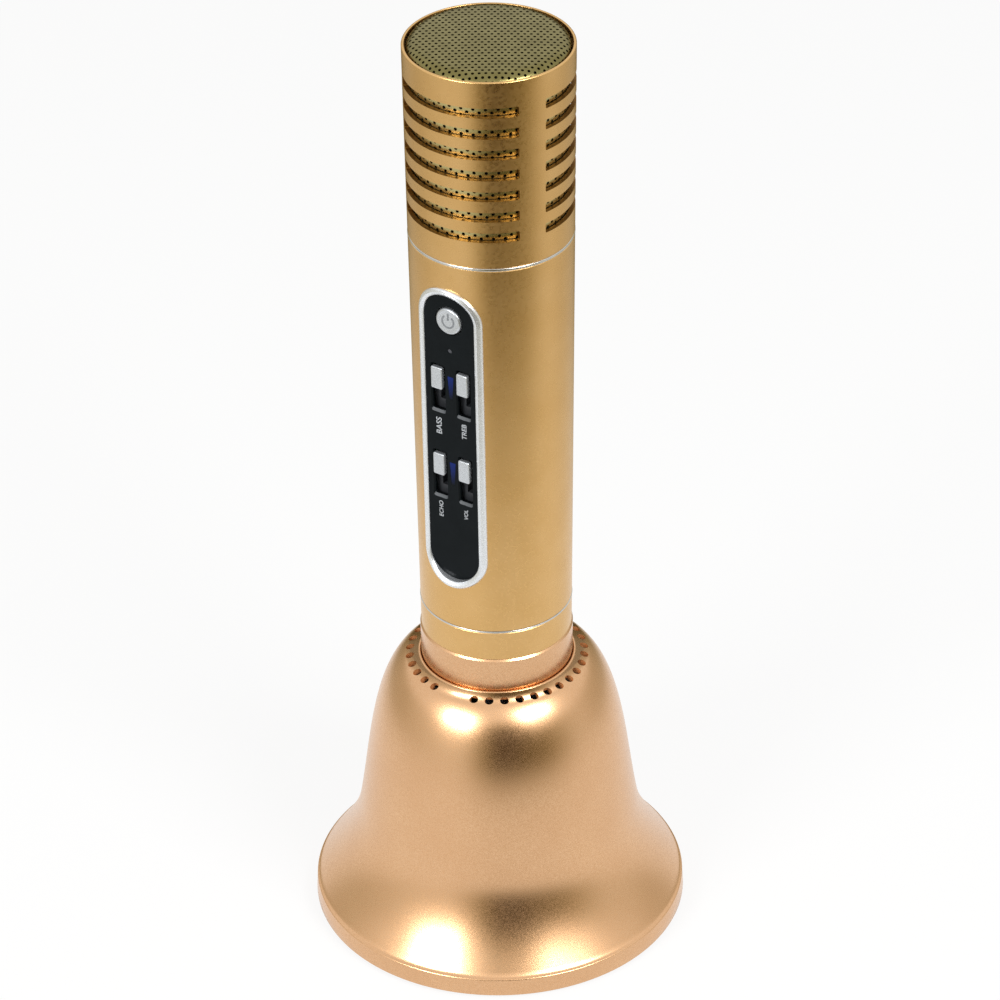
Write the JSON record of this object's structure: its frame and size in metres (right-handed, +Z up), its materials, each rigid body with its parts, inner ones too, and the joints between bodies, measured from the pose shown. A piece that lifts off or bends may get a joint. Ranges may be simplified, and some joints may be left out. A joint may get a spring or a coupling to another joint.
{
  "type": "karaoke microphone",
  "caption": "Cordless karaoke microphone whose slotted metal head and tapered handle stand on a bell-shaped loudspeaker base, with a power button and sound sliders.",
  "frame": {"origin": "centre of the foot ring on the surface that the microphone stands on", "axes": "+Z up along the handle, control panel facing -Y, sockets at the back facing +Y"},
  "size_m": [0.1026, 0.1026, 0.2661],
  "materials": {
    "gold_anodised": "satin",
    "gold_mesh": "satin",
    "rose_gold_paint": "satin",
    "bright_silver": "polished",
    "silver_caps": "satin",
    "black_gloss": "gloss",
    "clear_lens": "gloss",
    "black_plastic": "matte",
    "white_plastic": "matte",
    "black_foam": "matte",
    "black_rubber": "matte",
    "plain_steel": "satin",
    "dark_steel": "satin",
    "circuit_board": "satin",
    "battery_wrap": "gloss",
    "ferrite": "matte",
    "copper_wire": "satin",
    "paper_cone": "matte",
    "woven_cloth": "matte"
  },
  "bodies": {
    "housing": {"head_sleeve": "gold_anodised", "top_grille": "gold_mesh", "side_grille": "gold_mesh", "foam_liner": "black_foam", "mic_capsule": "plain_steel", "capsule_face": "plain_steel", "capsule_cradle": "black_rubber", "capsule_holder": "black_plastic", "head_thread_ring": "black_plastic", "upper_trim_ring": "bright_silver", "handle_tube": "gold_anodised", "panel_bezel": "bright_silver", "panel_plate": "black_gloss", "switch_body": "black_plastic", "bass_fader": "dark_steel", "treble_fader": "dark_steel", "echo_fader": "dark_steel", "volume_fader": "dark_steel", "status_led": "clear_lens", "light_windows": "clear_lens", "main_board": "circuit_board", "board_chips": "black_plastic", "board_screws": "plain_steel", "inner_chassis": "black_plastic", "battery_cell": "battery_wrap", "battery_cradle": "black_plastic", "battery_contacts": "plain_steel", "port_board": "circuit_board", "charging_socket": "plain_steel", "audio_socket": "black_plastic", "lower_trim_ring": "bright_silver", "lower_band": "gold_anodised", "neck_collar": "rose_gold_paint", "neck_core": "black_plastic", "neck_nut": "plain_steel", "bell_shell": "rose_gold_paint", "driver_basket": "dark_steel", "driver_top_plate": "plain_steel", "driver_magnet": "ferrite", "driver_yoke": "plain_steel", "cone_surround": "black_rubber", "cone_spider": "woven_cloth", "driver_gasket": "black_foam", "driver_screws": "plain_steel", "speaker_grille": "dark_steel", "base_plate": "black_plastic", "base_screws": "plain_steel", "foot_ring": "black_rubber", "speaker_leads": "copper_wire"},
    "power_button": {"power_button": "silver_caps", "switch_plunger": "white_plastic"},
    "cone": {"speaker_cone": "paper_cone", "dust_cap": "paper_cone", "voice_coil": "copper_wire"},
    "bass_slider": {"bass_slider": "silver_caps"},
    "treble_slider": {"treble_slider": "silver_caps"},
    "echo_slider": {"echo_slider": "silver_caps"},
    "volume_slider": {"volume_slider": "silver_caps"}
  },
  "joints": [
    {"name": "bass_slider_slide", "type": "slide", "parent": "housing", "child": "bass_slider", "axis": [0, 0, -1], "range_m": [0, 0.0064]},
    {"name": "treble_slider_slide", "type": "slide", "parent": "housing", "child": "treble_slider", "axis": [0, 0, -1], "range_m": [0, 0.0064]},
    {"name": "echo_slider_slide", "type": "slide", "parent": "housing", "child": "echo_slider", "axis": [0, 0, -1], "range_m": [0, 0.0064]},
    {"name": "volume_slider_slide", "type": "slide", "parent": "housing", "child": "volume_slider", "axis": [0, 0, -1], "range_m": [0, 0.0064]},
    {"name": "power_press", "type": "slide", "parent": "housing", "child": "power_button", "axis": [0, 1, 0], "range_m": [0, 0.0005], "stiffness_N_per_m": 600, "springref_m": -0.0005},
    {"name": "cone_stroke", "type": "slide", "parent": "housing", "child": "cone", "axis": [0, 0, 1], "range_m": [-0.001, 0.001], "stiffness_N_per_m": 1500, "deforming": ["cone_surround", "cone_spider"]}
  ]
}
